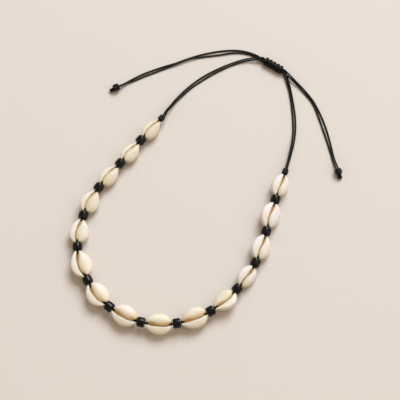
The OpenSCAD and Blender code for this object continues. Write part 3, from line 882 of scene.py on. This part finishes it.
class NECKLACE_OT_end_knots(Undoable, bpy.types.Operator):
    """Adds the two round end knots with their stubs"""
    bl_idname = "necklace.end_knots"
    bl_label = "End knots"
    # Radius of the strand in knot diameters, and size of the core and stretch of the strand's
    # line in radii of the ball that it is wound on
    strand_share, core_share, stretch = 0.19, 1.12, 1.04
    # The strand's trefoil: distance from the axis, its swing, and its swing along the axis
    mean, swing, tilt = 0.62, 0.38, 0.62
    # Line of a stub's strand: x in knot diameters and in stubs, shares of y and z, and its radius
    # in stubs
    stub_line = [(0.36, 0, 0.8, 0.5, 0.27), (0.46, 0, 1, 0.85, 0.29), (0.5, 0.2, 1, 1, 0.30),
                 (0.5, 0.62, 0.92, 1, 0.29), (0.5, 0.7, 0.85, 1, 0.26)]

    def execute(self, context):
        layout = Layout(context.scene)
        d, stub = layout.knot.end_diameter * END_FULLNESS, layout.knot.stub * STUB_FULLNESS
        strand = d * self.strand_share
        ball = d / 2 - strand
        u = np.linspace(0, 2 * np.pi, 161)
        ring = self.mean + self.swing * np.cos(3 * u)
        path = np.stack([self.tilt * np.sin(3 * u), ring * np.cos(2 * u), ring * np.sin(2 * u)], axis=1)
        path = path / np.linalg.norm(path, axis=1)[:, None] * ball
        path[:, 0] *= self.stretch
        tubes = Tubes()
        tubes.add(path, strand, KNOT_SIDES)
        tubes.lathe(arc(0, 0, ball * self.core_share, 180, 0, 17), CORE_SIDES)
        for y in (-stub * 0.24, stub * 0.24):
            tubes.add([(d * of_knot + stub * of_stub, y * across, (stub - d) / 2 * down)
                       for of_knot, of_stub, across, down, _ in self.stub_line],
                      [stub * row[-1] for row in self.stub_line], KNOT_SIDES)
        material = waxed_cord(layout.cord, "end_knot_cord", 1.0, 0.5)
        for side, at, turn in (("left", END_LEFT_AT, END_LEFT_TURN),
                               ("right", END_RIGHT_AT, END_RIGHT_TURN)):
            piece = tubes.object(f"{side}_end_knot", lying(at, turn, d / 2 + LIFT))
            hand_over(piece, material, f"end_knot_{side}")
        return {"FINISHED"}


class NECKLACE_OT_cords(Undoable, bpy.types.Operator):
    """Adds the four cords, from the stop knots through the sliding knot to the end knots"""
    bl_idname = "necklace.cords"
    bl_label = "Cords"

    def execute(self, context):
        layout = Layout(context.scene)
        material = waxed_cord(layout.cord, "waxed_black_cord")
        diameter = layout.cord.diameter * CORD_FULLNESS
        for side, far in (("left", "right"), ("right", "left")):
            knot = bpy.data.objects.get(f"{far}_end_knot")
            if knot is None:
                raise RuntimeError("the end knots come before the cords")
            for which, letter in ((1, "a"), (-1, "b")):
                line = layout.cord_line(side, which)
                tubes = Tubes()
                tubes.add(line, diameter / 2, CORD_SIDES, round_ends=False)
                piece = tubes.object(f"{side}_cord_{letter}")
                hand_over(piece, material, f"cord_{side}_{letter}")
        return {"FINISHED"}


class NECKLACE_OT_thread(Undoable, bpy.types.Operator):
    """Adds the thread through the shells and beads"""
    bl_idname = "necklace.thread"
    bl_label = "Thread"

    def execute(self, context):
        layout = Layout(context.scene)
        tubes = Tubes()
        tubes.add(smooth(layout.thread_points(), THREAD_STEPS), layout.cord.thread / 2, THREAD_SIDES)
        piece = tubes.object("string_thread")
        hand_over(piece, waxed_cord(layout.cord, "thread_cord"), "thread")
        return {"FINISHED"}


def denser(count, even):
    """Numbers from 0 to 1 that lie closer together at both ends, the more the lower even is."""
    u = np.linspace(0, 1, count)
    half = 0.5 * (u * even + u ** 1.8 * (1 - even))
    return np.concatenate([half, 1 - half[-2::-1]])


class NECKLACE_OT_shells(Undoable, bpy.types.Operator):
    """Adds the cowrie shells, slit side up"""
    bl_idname = "necklace.shells"
    bl_label = "Cowrie shells"
    # Rings of points to a tooth, points across each lip, and angles of the rings round the ends
    tooth_rings, lip_points, end_angles = 8, 5, [0, 25, 45, 62, 76, 87]

    def execute(self, context):
        layout = Layout(context.scene)
        material = cowrie_glaze(layout.shell)
        for i, form in enumerate(layout.forms):
            piece = self.shell(form, f"cowrie_{i + 1:02d}", layout.seat(
                layout.shell_from[i], form.length, form.lift, math.pi if form.way > 0 else 0))
            face_outward(piece)
            hand_over(piece, material, f"shell_{i + 1:02d}")
        return {"FINISHED"}

    def shell(self, form, name, place):
        """One shell: rings from end to end, each from outside over one lip, inside and back."""
        edge = form.end_round / (form.length / 2)
        body = np.linspace(-1 + 1.15 * edge, 1 - 1.15 * edge,
                           int(form.length / form.set.tooth_pitch * self.tooth_rings))
        tip = 1 - edge * (1 - np.sin(np.radians(self.end_angles)))
        t = np.concatenate([-tip[::-1], body, tip])[:, None]
        outer, inner, nl = denser(22, 0.35), denser(10, 0.4)[::-1], self.lip_points
        lip = np.linspace(0, 1, nl + 2)[1:-1]
        q = np.concatenate([outer, np.ones(nl), inner, np.zeros(nl)])[None, :]
        depth = np.concatenate([np.zeros(len(outer)), lip, np.ones(len(inner)), lip[::-1]])[None, :]
        points, marks = form.wall(t, q, depth)
        rings, n = points.shape[:2]
        from_slit = np.abs(points[..., 1] - form.set.slit_off * (1 - t * t))
        # low rises towards the bottom of the shell; the glaze turns it into straw, partly painted warm
        # shade on the lower flanks.
        marks.update(blush=np.exp(-from_slit / (0.15 * form.width)), tan=form.tan,
                     closed=max(0.0, 1 - form.open),
                     low=np.clip(1 - points[..., 2] / (0.8 * form.height), 0, 1),
                     warmth=form.warmth, seed=0.37 * form.index + 0.11)
        faces = [(k * n + j, (k + 1) * n + j, (k + 1) * n + (j + 1) % n, k * n + (j + 1) % n)
                 for k in range(rings - 1) for j in range(n)]
        for first in (0, (rings - 1) * n):
            faces += self.end_faces(first, len(outer), len(inner))
        return mesh_object(name, points.reshape(-1, 3), faces,
                           {k: np.broadcast_to(v, (rings, n)).ravel() for k, v in marks.items()},
                           matrix=place)

    def end_faces(self, base, no, ni):
        """Closes the pinched rim at an end of the shell, from one lip to the other."""
        nl = self.lip_points
        outside = [base + j for j in range(no)]
        inside = [base + no + nl + j for j in range(ni)][::-1]
        faces, i, j = [], 0, 0
        while i < no - 1 or j < ni - 1:
            if j >= ni - 1 or (i < no - 1 and (i + 1) / (no - 1) <= (j + 1) / (ni - 1)):
                faces.append((outside[i], outside[i + 1], inside[j]))
                i += 1
            else:
                faces.append((outside[i], inside[j + 1], inside[j]))
                j += 1
        faces.append((outside[-1], *(base + no + k for k in range(nl)), inside[-1]))
        faces.append((inside[0], *(base + no + nl + ni + k for k in range(nl)), outside[0]))
        return faces


class NECKLACE_OT_beads(Undoable, bpy.types.Operator):
    """Adds the black beads between the shells"""
    bl_idname = "necklace.beads"
    bl_label = "Beads"
    # Rounding of the hole's rims, how far a bead is out of round, and its turn from one to the next
    hole_round, uneven, next_bead = 0.3 * MM, 0.012, 1.9

    def execute(self, context):
        layout = Layout(context.scene)
        b, bore = layout.bead, layout.cord.thread / 2 + layout.cord.clearance
        material = bead_gloss(b)
        r, half, rim, small = b.diameter / 2, b.length / 2, b.rim, self.hole_round
        side = (arc(-half + rim, r - rim, rim, 180, 90, 7)
                + [(x, r) for x in np.linspace(-half + rim, half - rim, 6)[1:-1]]
                + arc(half - rim, r - rim, rim, 90, 0, 7))
        side = [(x, y - b.barrel * (x / half) ** 2 * y / r) for x, y in side]
        hole = (arc(half - small, bore + small, small, 0, -90, 4)
                + arc(-half + small, bore + small, small, -90, -180, 4))
        for i, s in enumerate(layout.bead_from):
            tubes = Tubes()
            tubes.lathe(side + hole, BEAD_SIDES, lambda a: 1 - self.uneven * (
                0.5 + 0.5 * math.sin(2 * a + self.next_bead * i)))
            piece = tubes.object(f"black_bead_{i + 1:02d}", layout.seat(s, b.length, layout.bead_z(i)))
            face_outward(piece)
            hand_over(piece, material, f"bead_{i + 1:02d}")
        return {"FINISHED"}


class NECKLACE_OT_stop_knots(Undoable, bpy.types.Operator):
    """Adds the two wrapped knots that close the string of shells"""
    bl_idname = "necklace.stop_knots"
    bl_label = "Stop knots"
    # First and last turn of the strand, with its tucked ends, and how far these go in
    first_turn, last_turn, tucked = -0.2, 3.2, 0.55

    def execute(self, context):
        layout = Layout(context.scene)
        k = layout.knot
        strand = k.stop_length / 6 + 0.02 * MM
        around = k.stop_diameter / 2 - strand - 0.15 * MM
        turns = np.linspace(self.first_turn, self.last_turn, 90)
        x = -k.stop_length / 2 + strand + np.clip((turns - 0.25) / 2.5, 0, 1) * (
            k.stop_length - 2 * strand)
        tuck = np.clip(np.minimum(turns - self.first_turn, self.last_turn - turns) / 0.35, 0, 1)
        radius = around * (1 - self.tucked + self.tucked * tuck)
        angle = 2 * np.pi * turns
        half, core = k.stop_length / 2 - 0.25 * MM, around * 0.9
        tubes = Tubes()
        tubes.add(np.stack([x, radius * np.cos(angle), radius * np.sin(angle)], axis=1), strand,
                  KNOT_SIDES)
        tubes.lathe([(-half, TINY), (-half, core), (half, core), (half, TINY)], CORE_SIDES)
        material = waxed_cord(layout.cord, "stop_knot_cord", 0.0, 0.3)
        for side, s, z, flip in (("left", layout.left_stop_from, layout.string_z(0), 0),
                                 ("right", layout.right_stop_from, layout.string_z(-1), math.pi)):
            piece = tubes.object(f"{side}_stop_knot", layout.seat(s, k.stop_length, z, flip))
            hand_over(piece, material, f"stop_knot_{side}")
        return {"FINISHED"}


class NECKLACE_OT_sliding_knot(Undoable, bpy.types.Operator):
    """Adds the sliding knot, a row of square knots round the four cords"""
    bl_idname = "necklace.sliding_knot"
    bl_label = "Sliding knot"
    # Radius of the strands, and inner and outer radius of the sleeve under them, in channels
    strand, sleeve = 0.66 * MM, (1.25, 1.32)

    def course(self, top, wraps):
        """One strand, above first where top is 1: x in passes across the knot, y and z as shares
        of half its width and half its thickness."""
        points = [(-0.1, -0.55 * top, 0.35 * top), (-0.08, -0.95 * top, 0.5 * top)]
        for n in range(2 * wraps):
            even = n % 2 == 0
            way, x = (top, n + 0.12) if even else (-top, n - 0.12)
            if n > 0:
                points += [(x - 0.16, -out * way, 0.4 * top), (x, -0.92 * way, 0.72 * top)]
            points += [(x, -0.55 * way, 0.97 * top), (x, 0.0, 1.04 * top),
                       (x, 0.55 * way, 0.97 * top), (x, 0.92 * way, 0.72 * top)]
            out, up = (1.18, 0.2) if top > 0 and even else (0.9, 0.0)
            if n < 2 * wraps - 1:
                points += [(x + 0.16, out * way, 0.4 * top), (n + 0.5, out * way, up)]
        x, y, _ = points[-1]
        return points + [(x + 0.08, y, 0.3 * top), (x + 0.1, y * 0.55, 0.2 * top)]

    def execute(self, context):
        layout = Layout(context.scene)
        k = layout.knot
        pitch = (k.slide_length - 2 * self.strand) / (2 * k.wraps - 0.7)
        wide = k.slide_width * SLIDE_FULLNESS / 2 - self.strand
        high = k.slide_thickness / 2 - self.strand
        tubes = Tubes()
        for top in (1, -1):
            tubes.add(smooth([((x - k.wraps + 0.5) * pitch, y * wide, z * high)
                              for x, y, z in self.course(top, k.wraps)], SLIDE_STEPS),
                      self.strand, KNOT_SIDES)
        half = k.slide_length / 2 - 0.5 * MM
        channel = layout.pair_pitch() / 2 + layout.cord.diameter / 2 + layout.cord.clearance
        thin, thick = (channel * share for share in self.sleeve)
        tubes.lathe([(-half, thin), (-half, thick), (half, thick), (half, thin)], CORE_SIDES)
        piece = tubes.object("square_knot_slide",
                             lying(SLIDE_AT, SLIDE_TURN, k.slide_thickness / 2 + LIFT))
        hand_over(piece, waxed_cord(layout.cord, "sliding_knot_cord", 1.0, 0.35),
                  "sliding_knot")
        return {"FINISHED"}


class NECKLACE_PT_panel(bpy.types.Panel):
    """Lists the pieces of the necklace and their settings"""
    bl_idname = "NECKLACE_PT_panel"
    bl_label = "Cowrie Shell Necklace"
    bl_space_type = "VIEW_3D"
    bl_region_type = "UI"
    bl_category = "Necklace"

    def draw(self, context):
        for operator in OPERATORS:
            self.layout.operator(operator.bl_idname)
        for key, group in SETTINGS.items():
            box = self.layout.box()
            box.label(text=key.replace("_", " ").capitalize())
            for name in group.__annotations__:
                box.prop(getattr(context.scene, key), name)


SETTINGS = {
    "necklace_shells": ShellSettings,
    "necklace_beads": BeadSettings,
    "necklace_cords": CordSettings,
    "necklace_knots": KnotSettings,
    "necklace_stage": StageSettings,
}
OPERATORS = [
    NECKLACE_OT_stage, NECKLACE_OT_end_knots, NECKLACE_OT_cords, NECKLACE_OT_thread,
    NECKLACE_OT_shells, NECKLACE_OT_beads, NECKLACE_OT_stop_knots, NECKLACE_OT_sliding_knot,
]


def register():
    for group in SETTINGS.values():
        bpy.utils.register_class(group)
    for operator in OPERATORS:
        bpy.utils.register_class(operator)
    bpy.utils.register_class(NECKLACE_PT_panel)
    for key, group in SETTINGS.items():
        setattr(bpy.types.Scene, key, PointerProperty(type=group))


def unregister():
    for key in SETTINGS:
        delattr(bpy.types.Scene, key)
    bpy.utils.unregister_class(NECKLACE_PT_panel)
    for operator in reversed(OPERATORS):
        bpy.utils.unregister_class(operator)
    for group in reversed(list(SETTINGS.values())):
        bpy.utils.unregister_class(group)


def main():
    register()
    bpy.ops.necklace.stage()
    bpy.ops.necklace.end_knots()
    bpy.ops.necklace.cords()
    bpy.ops.necklace.thread()
    bpy.ops.necklace.shells()
    bpy.ops.necklace.beads()
    bpy.ops.necklace.stop_knots()
    bpy.ops.necklace.sliding_knot()


if __name__ == "__main__":
    main()
